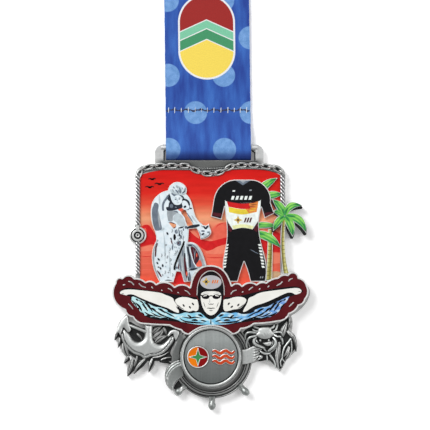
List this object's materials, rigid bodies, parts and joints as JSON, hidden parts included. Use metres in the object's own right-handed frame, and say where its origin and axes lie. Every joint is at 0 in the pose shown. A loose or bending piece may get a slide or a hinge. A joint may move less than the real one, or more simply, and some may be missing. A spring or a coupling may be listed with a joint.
{
  "type": "sports finisher medal",
  "caption": "Layered die-cast medal with enamelled plates, cast sea reliefs and a hanger bar that carries a printed neck ribbon.",
  "frame": {"origin": "on the flat back face, in the middle of the medal's own outline", "axes": "+Z out of the medal's face, +Y towards the hanger bar and along the ribbon, +X to the right as the face is read"},
  "size_m": [0.0791, 0.2675, 0.0095],
  "materials": {
    "antique_silver": "antique silver plating on die-cast zinc alloy, dark in the recesses",
    "sky_print": "glossy printed enamel, red fading to peach with red hills",
    "cyclist_print": "glossy print in greys and white",
    "race_suit_print": "glossy print, black with red, yellow and white panels",
    "green_enamel": "soft enamel in two greens with ochre trunks",
    "maroon_enamel": "soft enamel, glossy maroon",
    "black_enamel": "soft enamel, glossy black",
    "ivory_enamel": "soft enamel, ivory",
    "water_enamel": "soft enamel, pale cyan to blue",
    "grey_enamel": "soft enamel, light grey",
    "emblem_enamel": "soft enamel in orange, green and dark red",
    "ribbon": "satin polyester, printed blue with pale dots",
    "thread": "white sewing thread"
  },
  "bodies": {
    "medal": {"base_casting": "antique_silver", "rope_border": "antique_silver", "chain_swag": "antique_silver", "rope_pulley": "antique_silver", "swimmer_plate": "antique_silver", "wheel_medallion": "antique_silver", "anchor": "antique_silver", "crab": "antique_silver", "scroll_banner": "antique_silver", "ship_wheel": "antique_silver", "seaweed_left": "antique_silver", "kelp_right": "antique_silver", "cyclist_plate": "antique_silver", "race_suit_plate": "antique_silver", "palm_rear": "antique_silver", "palm_front": "antique_silver", "sky_print": "sky_print", "cyclist_print": "cyclist_print", "race_suit_print": "race_suit_print", "palm_rear_enamel": "green_enamel", "palm_front_enamel": "green_enamel", "enamel_maroon": "maroon_enamel", "enamel_black": "black_enamel", "enamel_skin": "ivory_enamel", "enamel_water": "water_enamel", "enamel_cap_patch": "grey_enamel", "medallion_emblem": "emblem_enamel"},
    "ribbon": {"neck_ribbon": "ribbon", "seam_stitching": "thread"}
  },
  "joints": [
    {"name": "ribbon_swing", "type": "hinge", "parent": "medal", "child": "ribbon", "pos_m": [0, 0.05255, 0.002], "axis": [1, 0, 0], "range_deg": [0, 110]}
  ]
}
